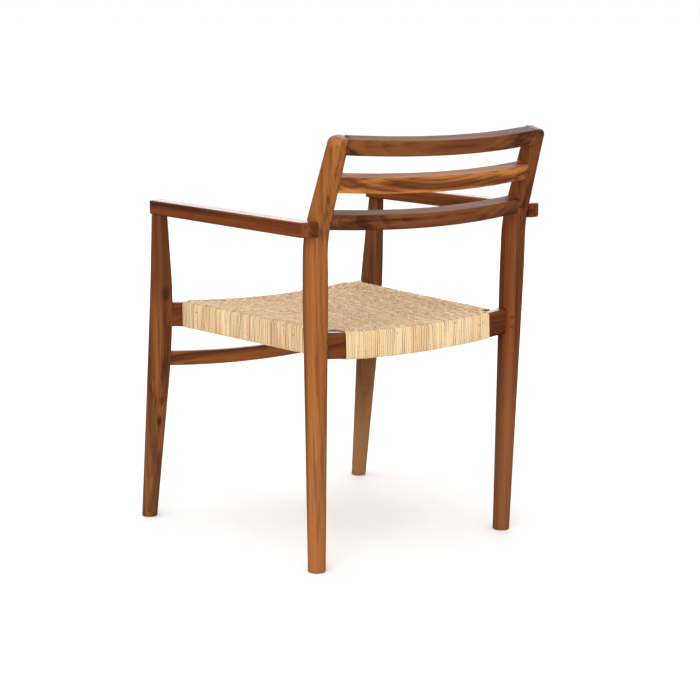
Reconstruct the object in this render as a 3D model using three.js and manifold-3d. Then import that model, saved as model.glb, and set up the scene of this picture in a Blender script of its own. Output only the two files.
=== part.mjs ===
// Open-backed teak armchair with a hand-woven cane seat.
// Millimetres, +Z up, +X to the sitter's left, +Y to the rear.
// The drawing origin is the middle of the line between the two rear feet;
// the finished group is moved so that its bounding box stands centred on the origin.

import * as THREE from 'three';
import { mergeVertices } from 'three/addons/utils/BufferGeometryUtils.js';
import Module from 'manifold-3d';

const wasm = await Module();
wasm.setup();

// Fits
const fitGap = 0.3;               // clearance between two pieces that touch
const cutOverrun = 10;            // how far a cutting tool runs past the wood
const weldDistance = 0.001;       // vertices nearer than this are one vertex

// Overall sizes
const halfWidth = 284;            // outer faces of the front feet from the plane of symmetry
const baseDepth = 522.8;          // rear foot centres to the front edges of the front feet
const seatRailTop = 443;          // bare seat rails, measured at the leg centre lines
const armTop = 643;

// Rear legs
const rearFootInset = 57.5;       // leg centre line inside halfWidth
const rearBendInset = 47.5;
const rearTopInset = 54;
const rearBendY = 12;             // centre line behind the rear foot at the bend
const bendHeight = 612;           // where the leg turns back
const rakeAngle = THREE.MathUtils.degToRad(19.3);
const stileLength = 190;          // raked part, from the bend to the top
const rearFootSize = 32.4;
const shoulderHeight = 535;       // thickest part of the leg
const rearShoulderWidth = 38;
const rearShoulderDepth = 48;
const stileTopWidth = 31;
const stileTopDepth = 33;
const stileCornerRadius = 17;     // outer top corner, seen from behind
const sawnTopSlope = THREE.MathUtils.degToRad(14.5);  // sawn top, down to the rear
const sawnReach = 4 * stileTopDepth;
const bendBlend = 34;             // half the length over which the bend is eased

// Front legs
const frontTopInset = 2;          // outer face at the top, inside halfWidth
const frontLean = 60.8;           // how far the front edge leans back from foot to top
const frontFootSize = 30.6;
const swellLow = 320;             // thickest stretch of the leg
const swellHigh = 450;
const frontSwellWidth = 39;
const frontSwellDepth = 47;
const frontTopWidth = 26.5;
const frontTopDepth = 29;
const taperBlend = 45;            // half the length over which a taper is eased
const edgeBreak = 1.5;            // small chamfer under the feet

// Arms
const armThickness = 27;
const armWidth = 33;
const armOuterInset = 1;          // outer face inside halfWidth
const armOverhang = 0.5;          // front end ahead of the front leg
const armTail = 28;               // rear end behind the rear leg's centre line
const armFrontRadius = 5;
const armRearRadius = 16;         // outer rear corner, seen from above
const armEdgeRound = 3;
const armTenonDiameter = 16;      // round tenon on top of each front leg
const armTenonLength = 18;
const armDowelDiameter = 8;
const armDowelLength = 26;
const armDowelSpacing = 22;

// Back slats
const slatHeight = 30;
const slatPitch = 70;             // bottom edge to bottom edge, along the stile
const slatThickness = 24;
const slatBow = 27;               // how far the middle stands behind the ends
const slatSetback = 2;            // slat centre behind the stile centre
const slatEdgeRound = 2;
const slatTenonLength = 17;
const slatTenonThickness = 10;
const slatTenonHeight = 20;

// Seat rails
const railHeight = 48;
const railThickness = 22;
const frontRailScoop = 15.5;      // how far the middle hangs below the ends
const rearRailScoop = 12.5;
const railEdgeRound = 2.5;
const railTenonLength = 17;
const railTenonThickness = 10;
const railTenonHeight = 32;
const frontRailSetback = 2.5;     // rail centre behind the front leg centre
const rearRailSetforward = 3;     // rail centre ahead of the rear leg centre
const sideRailHeight = 47;
const sideRailThickness = 21;
const sideRailFrontInset = 74;    // centre line inside halfWidth at the front rail
const sideRailRearInset = 98;     // and at the rear rail
const sideRailDrop = 5;           // top edge below the seat rail top
const sideTenonLength = 12;
const sideTenonThickness = 9;
const sideTenonHeight = 28;

// Front stretcher
const stretcherDrop = 99;         // top edge below the seat rail top
const stretcherHeight = 29;
const stretcherThickness = 18;
const stretcherScoop = 16;
const stretcherEdgeRound = 4;
const stretcherTenonLength = 15;
const stretcherTenonThickness = 8;
const stretcherTenonHeight = 18;

// Pegs that lock the tenons, driven in from behind
const slatPegDiameter = 4.5;
const railPegDiameter = 5;
const pegLength = 20;
const pegInset = 7;               // from the joint line
const pegRecess = 0.4;            // peg head below the leg surface
const railPegSpacing = 18;

// Woven cane
const caneThickness = 2.4;        // one layer of strands pulled round a rail
const panelThickness = 3.6;       // strands crossing over and under
const caneEdgeRound = 4.5;        // where the strands turn over a rail's edge
const bundleWidth = 27;           // a group of strands that go over and under together
const bundleRelief = 1.2;         // from the crest of a group to the corner between groups
const bundleSideShare = 0.3;      // how far the middle of a group's side stands above that corner

// Places that follow from the sizes
const rearFootX = halfWidth - rearFootInset;
const rearBendX = halfWidth - rearBendInset;
const rearTopX = halfWidth - rearTopInset;
const frontTopX = halfWidth - frontTopInset;
const frontFootY = -baseDepth;
const frontTopY = frontFootY + frontLean;
const armOuterX = halfWidth - armOuterInset;
const armFrontY = frontTopY - armOverhang;
const armRearY = rearBendY + armTail;
const sideRailFrontX = halfWidth - sideRailFrontInset;
const sideRailRearX = halfWidth - sideRailRearInset;
const stretcherTop = seatRailTop - stretcherDrop;

// Mesh fineness
const sectionPoints = 24;
const rearLegRings = 10;          // from the foot to the bend
const bendRings = 7;
const stileRings = 4;
const frontLegRings = 16;
const cornerPoints = 6;
const curveSteps = 14;
const roundSteps = 16;
const bevelSteps = 2;

// Squareness of the leg section: 2 is an ellipse, higher is squarer
const footSquareShare = 2;
const seatSquareShare = 2.8;
const stileSquareShare = 3.2;

const halfShare = 1 / 2;

const teak = { color: 0x7d4521, roughness: 0.34, metalness: 0 };
const pegWood = { color: 0x4a2612, roughness: 0.5, metalness: 0 };
const cane = { color: 0xdcbf92, roughness: 0.62, metalness: 0 };

// Conversion between three.js geometry and solids

function solidOf(geometry) {
  const bare = geometry.clone();
  bare.deleteAttribute('normal');
  bare.deleteAttribute('uv');
  const welded = mergeVertices(bare, weldDistance);
  return new wasm.Manifold(new wasm.Mesh({
    numProp: 3,
    vertProperties: new Float32Array(welded.attributes.position.array),
    triVerts: new Uint32Array(welded.index.array),
  }));
}

function geometryOf(solid) {
  const mesh = solid.getMesh();
  const geometry = new THREE.BufferGeometry();
  geometry.setAttribute('position', new THREE.BufferAttribute(mesh.vertProperties, 3));
  geometry.setIndex(new THREE.BufferAttribute(mesh.triVerts, 1));
  geometry.computeVertexNormals();
  return geometry;
}

function placed(geometry, matrix) {
  return solidOf(geometry.applyMatrix4(matrix));
}

// A shape extruded by an overall depth, centred on its own plane.
// edgeRound rounds the edges of both end faces and keeps the outline's size.
function centredExtrusion(shape, depth, edgeRound) {
  const geometry = new THREE.ExtrudeGeometry(shape, {
    depth: depth - 2 * edgeRound,
    steps: 1,
    curveSegments: curveSteps,
    bevelEnabled: edgeRound > 0,
    bevelThickness: edgeRound,
    bevelSize: edgeRound,
    bevelOffset: -edgeRound,
    bevelSegments: bevelSteps,
  });
  return geometry.translate(0, 0, edgeRound - depth * halfShare);
}

function box(sizeX, sizeY, sizeZ, x, y, z) {
  return solidOf(new THREE.BoxGeometry(sizeX, sizeY, sizeZ).translate(x, y, z));
}

const axisX = new THREE.Vector3(1, 0, 0);
const axisY = new THREE.Vector3(0, 1, 0);
const axisZ = new THREE.Vector3(0, 0, 1);

// Continues an outline round a corner, from straight beside the centre to straight above it
function cornerArc(shape, centreX, centreY, reachX, reachY) {
  for (let i = 1; i <= cornerPoints; i += 1) {
    const angle = Math.PI * halfShare * i / cornerPoints;
    shape.lineTo(centreX + reachX * Math.cos(angle), centreY + reachY * Math.sin(angle));
  }
}

// A round bar between two points
function roundBar(from, to, diameter) {
  const along = to.clone().sub(from);
  const bar = new THREE.CylinderGeometry(
    diameter * halfShare, diameter * halfShare, along.length(), roundSteps);
  const turn = new THREE.Quaternion().setFromUnitVectors(axisY, along.clone().normalize());
  const middle = from.clone().lerp(to, halfShare);
  bar.applyQuaternion(turn);
  return solidOf(bar.translate(middle.x, middle.y, middle.z));
}

// Tapers

// Straight-line values between stations, eased over a window where they turn
function track(stations, blend) {
  const straight = (t) => {
    const last = stations.length - 1;
    if (t <= stations[0][0]) return stations[0][1];
    for (let i = 1; i <= last; i += 1) {
      const [t0, v0] = stations[i - 1];
      const [t1, v1] = stations[i];
      if (t <= t1) return THREE.MathUtils.mapLinear(t, t0, t1, v0, v1);
    }
    return stations[last][1];
  };
  return (t) => {
    const first = stations[0][0];
    const end = stations[stations.length - 1][0];
    const reach = Math.max(0, Math.min(blend, t - first, end - t));
    const windowShares = [-1, -2 / 3, -1 / 3, 0, 1 / 3, 2 / 3, 1];
    const sum = windowShares.reduce((total, share) => total + straight(t + share * reach), 0);
    return sum / windowShares.length;
  };
}

// One leg section: a superellipse in the plane of X and a tilted depth direction
function section({ x, y, z, width, depth, squareness, tilt }, grow) {
  const a = width * halfShare + grow;
  const b = depth * halfShare + grow;
  const power = 2 / squareness;
  const ring = [];
  for (let i = 0; i < sectionPoints; i += 1) {
    const angle = 2 * Math.PI * i / sectionPoints;
    const across = a * Math.sign(Math.cos(angle)) * Math.abs(Math.cos(angle)) ** power;
    const back = b * Math.sign(Math.sin(angle)) * Math.abs(Math.sin(angle)) ** power;
    ring.push(new THREE.Vector3(
      x + across, y + back * Math.cos(tilt), z - back * Math.sin(tilt)));
  }
  return ring;
}

// Closed body through rings of equally many points, each running anticlockwise
// as seen from the last ring
function skin(rings) {
  const positions = [];
  for (const ring of rings) {
    for (const p of ring) positions.push(p.x, p.y, p.z);
  }
  const index = [];
  const n = rings[0].length;
  for (let r = 0; r < rings.length - 1; r += 1) {
    for (let i = 0; i < n; i += 1) {
      const a = r * n + i;
      const b = r * n + (i + 1) % n;
      index.push(a, b, a + n, b, b + n, a + n);
    }
  }
  const top = (rings.length - 1) * n;
  for (let i = 1; i < n - 1; i += 1) {
    index.push(0, i + 1, i);
    index.push(top, top + i, top + i + 1);
  }
  const geometry = new THREE.BufferGeometry();
  geometry.setAttribute('position', new THREE.Float32BufferAttribute(positions, 3));
  geometry.setIndex(index);
  return solidOf(geometry);
}

// Closed body through a stack of leg sections, lowest first
function loft(sections, grow) {
  return skin(sections.map((each) => section(each, grow)));
}

// Rear leg: foot, gentle swell to the shoulder, then the raked stile of the back

const stileUp = new THREE.Vector3(0, Math.sin(rakeAngle), Math.cos(rakeAngle));
const stileBack = new THREE.Vector3(0, Math.cos(rakeAngle), -Math.sin(rakeAngle));
const bendPoint = new THREE.Vector3(0, rearBendY, bendHeight);

const rearLegLength = bendHeight + stileLength;
const rearWidth = track([
  [0, rearFootSize], [shoulderHeight, rearShoulderWidth], [rearLegLength, stileTopWidth],
], taperBlend);
const rearDepth = track([
  [0, rearFootSize], [shoulderHeight, rearShoulderDepth], [rearLegLength, stileTopDepth],
], taperBlend);
const rearX = track([
  [0, rearFootX], [bendHeight, rearBendX], [rearLegLength, rearTopX],
], taperBlend);
const rearSquareness = track([
  [0, footSquareShare], [shoulderHeight, seatSquareShare], [rearLegLength, stileSquareShare],
], taperBlend);

// Centre line of the rear leg, eased round the bend; t is the length from the foot
function rearSpine(t) {
  const straight = (s) => {
    if (s <= bendHeight) {
      return new THREE.Vector3(0, rearBendY * s / bendHeight, s);
    }
    return bendPoint.clone().addScaledVector(stileUp, s - bendHeight);
  };
  const off = THREE.MathUtils.clamp((t - bendHeight) / bendBlend, -1, 1);
  if (Math.abs(off) === 1) return straight(t);
  const before = straight(bendHeight - bendBlend);
  const after = straight(bendHeight + bendBlend);
  const share = (off + 1) * halfShare;
  const lower = before.lerp(bendPoint, share);
  return lower.lerp(bendPoint.clone().lerp(after, share), share);
}

function rearTilt(t) {
  const share = THREE.MathUtils.clamp((t - bendHeight + bendBlend) / (2 * bendBlend), 0, 1);
  return rakeAngle * share;
}

function rearSection(t, side) {
  const p = rearSpine(t);
  return {
    x: side * rearX(t),
    y: p.y,
    z: p.z,
    width: rearWidth(t),
    depth: rearDepth(t),
    squareness: rearSquareness(t),
    tilt: rearTilt(t),
  };
}

// The shaped leg before its top is sawn off and rounded
function rearLegStock(side, grow) {
  const sections = [{
    ...rearSection(0, side),
    width: rearFootSize - 2 * edgeBreak,
    depth: rearFootSize - 2 * edgeBreak,
  }];
  const straightEnd = bendHeight - bendBlend;
  for (let i = 0; i <= rearLegRings; i += 1) {
    const t = THREE.MathUtils.lerp(edgeBreak, straightEnd, i / rearLegRings);
    sections.push(rearSection(t, side));
  }
  for (let i = 1; i <= bendRings; i += 1) {
    sections.push(rearSection(straightEnd + 2 * bendBlend * i / bendRings, side));
  }
  const upperStart = bendHeight + bendBlend;
  for (let i = 1; i <= stileRings; i += 1) {
    const t = THREE.MathUtils.lerp(upperStart, rearLegLength + cutOverrun, i / stileRings);
    sections.push(rearSection(t, side));
  }
  return loft(sections, grow);
}

// Saws off the top of a stile, through its top rear edge, and rounds the outer corner
function stileTopCut(side) {
  const r = stileCornerRadius;
  const outer = rearX(rearLegLength - r) + rearWidth(rearLegLength - r) * halfShare;
  const inner = outer - 2 * stileTopWidth;
  const beyond = outer + cutOverrun;
  const above = 2 * cutOverrun;
  const shape = new THREE.Shape();
  shape.moveTo(side * beyond, -r);
  shape.lineTo(side * outer, -r);
  cornerArc(shape, side * (outer - r), -r, side * r, r);
  shape.lineTo(side * inner, 0);
  shape.lineTo(side * inner, above);
  shape.lineTo(side * beyond, above);
  shape.closePath();
  const sawUp = axisZ.clone().applyAxisAngle(axisX, -sawnTopSlope);
  const sawFront = axisY.clone().applyAxisAngle(axisX, -sawnTopSlope).negate();
  const rearEdge = bendPoint.clone()
    .addScaledVector(stileUp, stileLength)
    .addScaledVector(stileBack, stileTopDepth * halfShare);
  const matrix = new THREE.Matrix4().makeBasis(axisX, sawUp, sawFront).setPosition(rearEdge);
  return placed(centredExtrusion(shape, sawnReach, 0), matrix);
}

// Front leg: straight front edge and outer face, the swell is all on the inside and back

const armUnderside = armTop - armThickness;
const frontLegTop = armUnderside - fitGap;
const frontWidth = track([
  [0, frontFootSize], [swellLow, frontSwellWidth],
  [swellHigh, frontSwellWidth], [frontLegTop, frontTopWidth],
], taperBlend);
const frontDepth = track([
  [0, frontFootSize], [swellLow, frontSwellDepth],
  [swellHigh, frontSwellDepth], [frontLegTop, frontTopDepth],
], taperBlend);
const frontSquareness = track([
  [0, footSquareShare], [swellLow, seatSquareShare], [frontLegTop, seatSquareShare],
], taperBlend);

function frontSection(z, side) {
  const share = z / frontLegTop;
  const outer = THREE.MathUtils.lerp(halfWidth, frontTopX, share);
  const edge = THREE.MathUtils.lerp(frontFootY, frontTopY, share);
  return {
    x: side * (outer - frontWidth(z) * halfShare),
    y: edge + frontDepth(z) * halfShare,
    z,
    width: frontWidth(z),
    depth: frontDepth(z),
    squareness: frontSquareness(z),
    tilt: 0,
  };
}

function frontLegStock(side, grow) {
  const sections = [{
    ...frontSection(0, side),
    width: frontFootSize - 2 * edgeBreak,
    depth: frontFootSize - 2 * edgeBreak,
  }];
  for (let i = 0; i <= frontLegRings; i += 1) {
    const z = THREE.MathUtils.lerp(edgeBreak, frontLegTop, i / frontLegRings);
    sections.push(frontSection(z, side));
  }
  return loft(sections, grow);
}

// Seat frame places that several pieces share

const railMidZ = seatRailTop - railHeight * halfShare;
const frontLegAtRail = frontSection(railMidZ, 1);
const rearLegAtRail = rearSection(railMidZ, 1);
const frontRailY = frontLegAtRail.y + frontRailSetback;
const rearRailY = rearLegAtRail.y - rearRailSetforward;
const frontRailBackY = frontRailY + railThickness * halfShare;
const rearRailFrontY = rearRailY - railThickness * halfShare;
const sideRailTop = seatRailTop - sideRailDrop;
const sideRailMidZ = sideRailTop - sideRailHeight * halfShare;
const frontInnerX = frontLegAtRail.x - frontLegAtRail.width * halfShare;
const rearInnerX = rearLegAtRail.x - rearLegAtRail.width * halfShare;

// Drop of a hanging edge at x, where it hangs freely between plus and minus curveSpan
function scoopAt(x, curveSpan, scoop) {
  return -scoop * (1 - (x / curveSpan) ** 2);
}

// Front view of a rail whose top and bottom edges hang in one parabola
function scoopedShape(halfSpan, curveSpan, top, height, scoop) {
  const endDrop = scoopAt(halfSpan, curveSpan, scoop);
  const control = -2 * scoop - endDrop;
  const shape = new THREE.Shape();
  shape.moveTo(-halfSpan, top + endDrop);
  shape.lineTo(-halfSpan, top - height + endDrop);
  shape.quadraticCurveTo(0, top - height + control, halfSpan, top - height + endDrop);
  shape.lineTo(halfSpan, top + endDrop);
  shape.quadraticCurveTo(0, top + control, -halfSpan, top + endDrop);
  return shape;
}

// Stands a front-view shape upright at a given y
function uprightAt(y) {
  return new THREE.Matrix4().makeBasis(axisX, axisZ, axisY.clone().negate()).setPosition(0, y, 0);
}

// A cross rail between two legs: coped shoulders and a tenon into each leg
function crossRail(spec) {
  const { legX, y, top, height, thickness, scoop, edgeRound, legStock } = spec;
  const shape = scoopedShape(legX, legX, top, height, scoop);
  let rail = placed(centredExtrusion(shape, thickness, edgeRound), uprightAt(y));
  for (const side of [1, -1]) rail = rail.subtract(legStock(side, fitGap));
  for (const side of [1, -1]) rail = rail.add(crossTenon(spec, side, 0));
  return rail;
}

// The tenon starts inside the rail, so the coped shoulder and tenon are one body
function crossTenon(spec, side, grow) {
  const { innerX, y, top, height, tenonLength, tenonThickness, tenonHeight } = spec;
  const root = innerX - tenonLength;
  const tip = innerX + tenonLength;
  return box(
    tip - root + 2 * grow, tenonThickness + 2 * grow, tenonHeight + 2 * grow,
    side * (root + tip) * halfShare, y, top - height * halfShare - spec.tenonDrop);
}

const seatRailSizes = {
  top: seatRailTop,
  height: railHeight,
  thickness: railThickness,
  edgeRound: railEdgeRound,
  tenonLength: railTenonLength,
  tenonThickness: railTenonThickness,
  tenonHeight: railTenonHeight,
  tenonDrop: railEdgeRound,
};

const frontRailSpec = {
  ...seatRailSizes,
  legX: frontLegAtRail.x,
  innerX: frontInnerX,
  y: frontRailY,
  scoop: frontRailScoop,
  legStock: frontLegStock,
};

const rearRailSpec = {
  ...seatRailSizes,
  legX: rearLegAtRail.x,
  innerX: rearInnerX,
  y: rearRailY,
  scoop: rearRailScoop,
  legStock: rearLegStock,
};

const stretcherMidZ = stretcherTop - stretcherHeight * halfShare;
const frontLegAtStretcher = frontSection(stretcherMidZ, 1);
const stretcherSpec = {
  legX: frontLegAtStretcher.x,
  innerX: frontLegAtStretcher.x - frontLegAtStretcher.width * halfShare,
  y: frontLegAtStretcher.y,
  top: stretcherTop,
  height: stretcherHeight,
  thickness: stretcherThickness,
  scoop: stretcherScoop,
  edgeRound: stretcherEdgeRound,
  tenonLength: stretcherTenonLength,
  tenonThickness: stretcherTenonThickness,
  tenonHeight: stretcherTenonHeight,
  tenonDrop: stretcherEdgeRound * halfShare,
  legStock: frontLegStock,
};

// Side rails run straight from the front rail to the rear rail, inside the legs

// Centre line of a side rail at a given y
function sideRailX(y) {
  return THREE.MathUtils.mapLinear(
    y, frontRailBackY, rearRailFrontY, sideRailFrontX, sideRailRearX);
}

// Plan outline of a bar along a side rail, from one y to another
function sideBarShape(side, thickness, fromY, toY) {
  const half = thickness * halfShare;
  const shape = new THREE.Shape();
  shape.moveTo(side * sideRailX(fromY) - half, fromY);
  shape.lineTo(side * sideRailX(fromY) + half, fromY);
  shape.lineTo(side * sideRailX(toY) + half, toY);
  shape.lineTo(side * sideRailX(toY) - half, toY);
  shape.closePath();
  return shape;
}

function sideBar(side, thickness, height, fromY, toY, edgeRound) {
  const shape = sideBarShape(side, thickness, fromY, toY);
  const lift = new THREE.Matrix4().makeTranslation(0, 0, sideRailMidZ);
  return placed(centredExtrusion(shape, height, edgeRound), lift);
}

function sideTenons(side, grow) {
  return sideBar(
    side, sideTenonThickness + 2 * grow, sideTenonHeight + 2 * grow,
    frontRailBackY - sideTenonLength - grow, rearRailFrontY + sideTenonLength + grow, 0);
}

function sideRail(side) {
  const body = sideBar(
    side, sideRailThickness, sideRailHeight,
    frontRailBackY + fitGap, rearRailFrontY - fitGap, railEdgeRound);
  return body.add(sideTenons(side, 0));
}

// Back slats, drawn in the plane of the raked stiles

const slatCount = 3;
const topSlatMid = stileLength - slatHeight * halfShare;

function slatPlane(along) {
  const origin = bendPoint.clone()
    .addScaledVector(stileUp, along)
    .addScaledVector(stileBack, slatSetback);
  return new THREE.Matrix4().makeBasis(axisX, stileBack, stileUp).setPosition(origin);
}

// Plan of a slat bent back in the middle
function bowedShape(halfSpan, thickness) {
  const half = thickness * halfShare;
  const control = 2 * slatBow;
  const shape = new THREE.Shape();
  shape.moveTo(-halfSpan, -half);
  shape.quadraticCurveTo(0, control - half, halfSpan, -half);
  shape.lineTo(halfSpan, half);
  shape.quadraticCurveTo(0, control + half, -halfSpan, half);
  shape.closePath();
  return shape;
}

function slatInnerX(along) {
  const t = bendHeight + along;
  return rearX(t) - rearWidth(t) * halfShare;
}

function slatTenon(along, side, grow) {
  const root = slatInnerX(along) - slatTenonLength * halfShare;
  const tip = slatInnerX(along) + slatTenonLength;
  const tenon = new THREE.BoxGeometry(
    tip - root + 2 * grow, slatTenonThickness + 2 * grow, slatTenonHeight + 2 * grow);
  return placed(tenon.translate(side * (root + tip) * halfShare, 0, 0), slatPlane(along));
}

function slat(along) {
  const shape = bowedShape(slatInnerX(along) + stileTopWidth * halfShare, slatThickness);
  let body = placed(centredExtrusion(shape, slatHeight, slatEdgeRound), slatPlane(along));
  for (const side of [1, -1]) body = body.subtract(rearLegStock(side, fitGap));
  for (const side of [1, -1]) body = body.add(slatTenon(along, side, 0));
  return body;
}

// Places along the stile of the slats, lowest first
const slatPlaces = Array.from(
  { length: slatCount }, (_, i) => topSlatMid - (slatCount - 1 - i) * slatPitch);
const slatNames = ['lower_slat', 'middle_slat', 'top_rail'];

// Pegs

// A peg is described by where its axis leaves the back of the leg and its direction
function slatPegAxis(along, side) {
  const inset = side * (slatInnerX(along) + pegInset);
  const face = rearDepth(bendHeight + along) * halfShare;
  const mouth = bendPoint.clone()
    .addScaledVector(stileUp, along)
    .addScaledVector(stileBack, face)
    .addScaledVector(axisX, inset);
  return { mouth, inward: stileBack.clone().negate(), diameter: slatPegDiameter };
}

function railPegAxis(z, side) {
  const at = rearSection(z, side);
  const mouth = new THREE.Vector3(
    side * (rearInnerX + pegInset), at.y + at.depth * halfShare, z);
  return { mouth, inward: axisY.clone().negate(), diameter: railPegDiameter };
}

function pegBar({ mouth, inward, diameter }, grow) {
  const from = mouth.clone().addScaledVector(inward, -cutOverrun);
  const to = mouth.clone().addScaledVector(inward, pegLength + grow);
  return roundBar(from, to, diameter + 2 * grow);
}

// A peg is trimmed to follow the surface of its leg, just below it
function peg(axis, side) {
  return pegBar(axis, 0).intersect(rearLegStock(side, -pegRecess));
}

const tenonMidZ = railMidZ - railEdgeRound;
const railPegHeights = {
  lower: tenonMidZ - railPegSpacing * halfShare,
  upper: tenonMidZ + railPegSpacing * halfShare,
};

function pegAxesOf(side) {
  const axes = {};
  slatPlaces.forEach((along, i) => {
    axes[`${slatNames[i]}_peg`] = slatPegAxis(along, side);
  });
  for (const [level, z] of Object.entries(railPegHeights)) {
    axes[`rear_rail_peg_${level}`] = railPegAxis(z, side);
  }
  return axes;
}

function cutPegHoles(body, sides) {
  let cut = body;
  for (const side of sides) {
    for (const axis of Object.values(pegAxesOf(side))) cut = cut.subtract(pegBar(axis, fitGap));
  }
  return cut;
}

// Arms

const armInnerX = armOuterX - armWidth;
const armMidZ = armTop - armThickness * halfShare;

function armShape(side) {
  const shape = new THREE.Shape();
  const small = armFrontRadius;
  const large = armRearRadius;
  const inner = side * armInnerX;
  const outer = side * armOuterX;
  shape.moveTo(inner, armRearY);
  shape.lineTo(inner, armFrontY + small);
  shape.quadraticCurveTo(inner, armFrontY, inner + side * small, armFrontY);
  shape.lineTo(outer - side * small, armFrontY);
  shape.quadraticCurveTo(outer, armFrontY, outer, armFrontY + small);
  shape.lineTo(outer, armRearY - large);
  cornerArc(shape, outer - side * large, armRearY - large, side * large, large);
  shape.closePath();
  return shape;
}

function armTenon(side, grow) {
  const top = frontSection(frontLegTop, side);
  const root = new THREE.Vector3(top.x, top.y, frontLegTop - armTenonLength);
  const tip = new THREE.Vector3(top.x, top.y, frontLegTop + armTenonLength + grow);
  return roundBar(root, tip, armTenonDiameter + 2 * grow);
}

// Dowels run sideways from the arm into the rear leg
function armDowel(side, offset, grow) {
  const at = rearSection(armMidZ, side);
  const joint = side * (Math.abs(at.x) + at.width * halfShare);
  const reach = armDowelLength * halfShare + grow;
  const y = at.y + offset;
  return roundBar(
    new THREE.Vector3(joint - reach, y, armMidZ),
    new THREE.Vector3(joint + reach, y, armMidZ),
    armDowelDiameter + 2 * grow);
}

const dowelOffsets = {
  front: -armDowelSpacing * halfShare,
  rear: armDowelSpacing * halfShare,
};

function arm(side) {
  const lift = new THREE.Matrix4().makeTranslation(0, 0, armMidZ);
  let body = placed(centredExtrusion(armShape(side), armThickness, armEdgeRound), lift);
  body = body.subtract(rearLegStock(side, fitGap)).subtract(armTenon(side, fitGap));
  for (const offset of Object.values(dowelOffsets)) {
    body = body.subtract(armDowel(side, offset, fitGap));
  }
  return body;
}

// Finished legs, with every mortise and hole cut

function rearLeg(side) {
  let body = rearLegStock(side, 0)
    .subtract(stileTopCut(side))
    .subtract(crossTenon(rearRailSpec, side, fitGap));
  for (const along of slatPlaces) body = body.subtract(slatTenon(along, side, fitGap));
  for (const offset of Object.values(dowelOffsets)) {
    body = body.subtract(armDowel(side, offset, fitGap));
  }
  return cutPegHoles(body, [side]);
}

function frontLeg(side) {
  return frontLegStock(side, 0)
    .subtract(crossTenon(frontRailSpec, side, fitGap))
    .subtract(crossTenon(stretcherSpec, side, fitGap))
    .add(armTenon(side, 0));
}

function seatCrossRail(spec) {
  let rail = crossRail(spec);
  for (const side of [1, -1]) rail = rail.subtract(sideTenons(side, fitGap));
  return rail;
}

// Woven cane: a sleeve of strands round each rail and a panel between the sleeves

const sleeveInner = fitGap;
const sleeveOuter = fitGap + caneThickness;

function crossSleeve(spec, halfWidth) {
  const ring = (grow, halfSpan, edgeRound) => {
    const shape = scoopedShape(
      halfSpan, spec.legX, spec.top + grow, spec.height + 2 * grow, spec.scoop);
    return placed(
      centredExtrusion(shape, spec.thickness + 2 * grow, edgeRound), uprightAt(spec.y));
  };
  return ring(sleeveOuter, halfWidth, caneEdgeRound)
    .subtract(ring(sleeveInner, halfWidth + cutOverrun, 0));
}

function sideSleeve(side) {
  const ring = (grow, over, edgeRound) => sideBar(
    side, sideRailThickness + 2 * grow, sideRailHeight + 2 * grow,
    frontRailBackY + fitGap - over, rearRailFrontY - fitGap + over, edgeRound);
  return ring(sleeveOuter, 0, caneEdgeRound).subtract(ring(sleeveInner, cutOverrun, 0));
}

const sleeveFaceInset = sideRailThickness * halfShare + sleeveOuter + fitGap;
const frontSleeveHalf = sideRailX(frontRailBackY) - sleeveFaceInset;
const rearSleeveHalf = sideRailX(rearRailFrontY) - sleeveFaceInset;

// Each group of strands is two grid steps wide: crests stand at odd steps both ways,
// and the panel's own edges stay at full thickness
function crestShare(column, row, columns, rows) {
  const atEdge = column === 0 || row === 0 || column === columns || row === rows;
  const odd = column % 2 + row % 2;
  if (atEdge || odd === 2) return 1;
  return odd === 1 ? bundleSideShare : 0;
}

// The panel follows the curve of the front rail in front and of the rear rail behind,
// with the groups of strands crowned above and below
function wovenPanel() {
  const frontY = frontRailBackY + sleeveOuter + fitGap;
  const rearY = rearRailFrontY - sleeveOuter - fitGap;
  const columns = 2 * Math.round(2 * frontSleeveHalf / bundleWidth);
  const rows = 2 * Math.round((rearY - frontY) / bundleWidth);
  const edgePoint = (share, spec, y) => {
    const x = share * (sideRailX(y) - sleeveFaceInset);
    const top = spec.top + sleeveOuter + scoopAt(x, spec.legX, spec.scoop);
    return new THREE.Vector3(x, y, top);
  };
  const lowered = (point, drop) => point.clone().addScaledVector(axisZ, -drop);
  const rings = [];
  for (let column = 0; column <= columns; column += 1) {
    const share = 2 * column / columns - 1;
    const front = edgePoint(share, frontRailSpec, frontY);
    const rear = edgePoint(share, rearRailSpec, rearY);
    const above = [];
    const below = [];
    for (let row = 0; row <= rows; row += 1) {
      const at = front.clone().lerp(rear, row / rows);
      const sink = bundleRelief * (1 - crestShare(column, row, columns, rows));
      above.unshift(lowered(at, sink));
      below.push(lowered(at, panelThickness - sink));
    }
    rings.push([lowered(front, panelThickness * halfShare), ...below, ...above]);
  }
  return skin(rings);
}

// Assembly

function node(name, solid, finish) {
  const mesh = new THREE.Mesh(geometryOf(solid), new THREE.MeshStandardMaterial(finish));
  mesh.name = name;
  return mesh;
}

function legsAndArms(side, hand) {
  const group = new THREE.Group();
  group.add(node(`${hand}_rear_leg`, rearLeg(side), teak));
  group.add(node(`${hand}_front_leg`, frontLeg(side), teak));
  group.add(node(`${hand}_arm`, arm(side), teak));
  for (const [place, offset] of Object.entries(dowelOffsets)) {
    group.add(node(`${hand}_arm_dowel_${place}`, armDowel(side, offset, 0), pegWood));
  }
  for (const [name, axis] of Object.entries(pegAxesOf(side))) {
    group.add(node(`${hand}_${name}`, peg(axis, side), pegWood));
  }
  return group;
}

function back() {
  const group = new THREE.Group();
  slatPlaces.forEach((along, i) => {
    group.add(node(slatNames[i], cutPegHoles(slat(along), [1, -1]), teak));
  });
  return group;
}

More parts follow.
